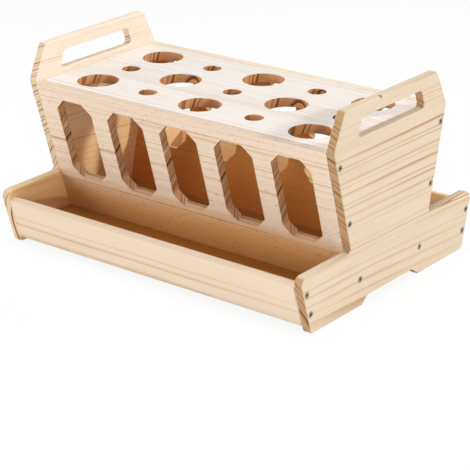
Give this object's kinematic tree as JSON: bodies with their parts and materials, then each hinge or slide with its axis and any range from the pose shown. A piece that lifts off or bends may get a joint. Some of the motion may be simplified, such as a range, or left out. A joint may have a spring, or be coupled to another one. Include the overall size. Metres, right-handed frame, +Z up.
{
  "type": "hay feeder box",
  "caption": "Wooden hay feeder with a hopper of slotted boards, a trough along each side, handles cut in the end panels and a pierced lid that lifts out.",
  "frame": {"origin": "on the ground, under the middle of the feeder", "axes": "+X along the feeder from the left to the right end panel, +Y from the front trough to the back trough, +Z up"},
  "size_m": [0.4, 0.2916, 0.208],
  "materials": {
    "lid_pine": "sanded, bare",
    "panel_pine": "sanded, bare",
    "rack_pine": "sanded, bare",
    "trough_pine": "sanded, bare",
    "floor_pine": "sanded, bare",
    "screw_steel": "zinc plated"
  },
  "bodies": {
    "feeder": {"left_end_panel": "panel_pine", "right_end_panel": "panel_pine", "front_slotted_board": "rack_pine", "back_slotted_board": "rack_pine", "front_trough_board": "trough_pine", "back_trough_board": "trough_pine", "floor_board": "floor_pine", "left_screw_front_rack_upper": "screw_steel", "left_screw_front_rack_lower": "screw_steel", "left_screw_front_rack_foot": "screw_steel", "left_screw_front_trough_upper": "screw_steel", "left_screw_front_trough_lower": "screw_steel", "left_screw_back_rack_upper": "screw_steel", "left_screw_back_rack_lower": "screw_steel", "left_screw_back_rack_foot": "screw_steel", "left_screw_back_trough_upper": "screw_steel", "left_screw_back_trough_lower": "screw_steel", "right_screw_front_rack_upper": "screw_steel", "right_screw_front_rack_lower": "screw_steel", "right_screw_front_rack_foot": "screw_steel", "right_screw_front_trough_upper": "screw_steel", "right_screw_front_trough_lower": "screw_steel", "right_screw_back_rack_upper": "screw_steel", "right_screw_back_rack_lower": "screw_steel", "right_screw_back_rack_foot": "screw_steel", "right_screw_back_trough_upper": "screw_steel", "right_screw_back_trough_lower": "screw_steel"},
    "lid": {"lid_board": "lid_pine"}
  },
  "joints": [
    {"name": "lid_lift", "type": "slide", "parent": "feeder", "child": "lid", "axis": [0, 0, 1], "range_m": [0, 0.06]}
  ]
}
